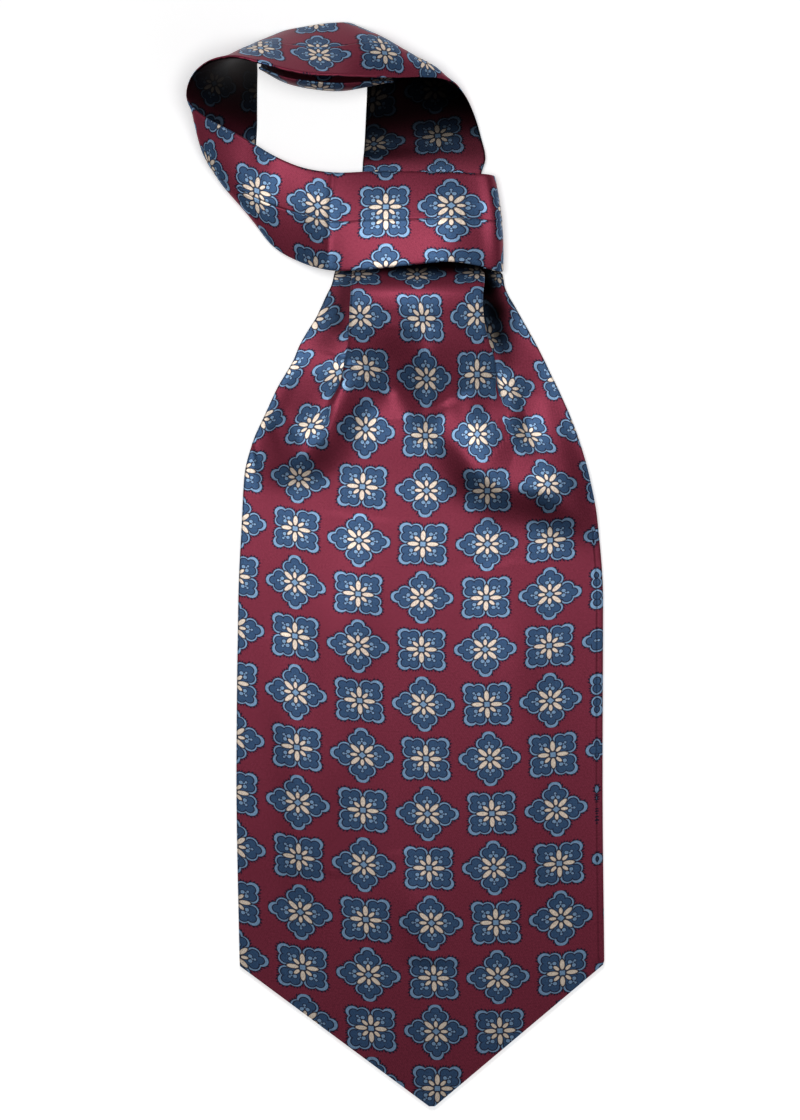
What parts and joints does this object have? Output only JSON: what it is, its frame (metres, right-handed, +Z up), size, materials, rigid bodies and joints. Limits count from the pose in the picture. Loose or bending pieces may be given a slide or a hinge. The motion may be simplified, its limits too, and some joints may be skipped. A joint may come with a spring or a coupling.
{
  "type": "silk cravat",
  "caption": "Silk day cravat laid flat: pleated front blade over a pointed back blade, neckband standing as an open loop.",
  "frame": {"origin": "centre of the part's bounding box, on the surface that it lies on", "axes": "+Y from the blades' point towards the neck loop, +X to the right seen from above, +Z up from the surface"},
  "size_m": [0.1754, 0.4554, 0.0378],
  "materials": {
    "printed_silk": "printed silk twill, soft satin sheen"
  },
  "bodies": {
    "root": {"neckband_front": "printed_silk", "neckband_crescent": "printed_silk", "neckband_left": "printed_silk", "neckband_top": "printed_silk", "neckband_right": "printed_silk", "neckband_top_inner_ply": "printed_silk", "front_blade": "printed_silk", "back_blade": "printed_silk"}
  },
  "joints": []
}
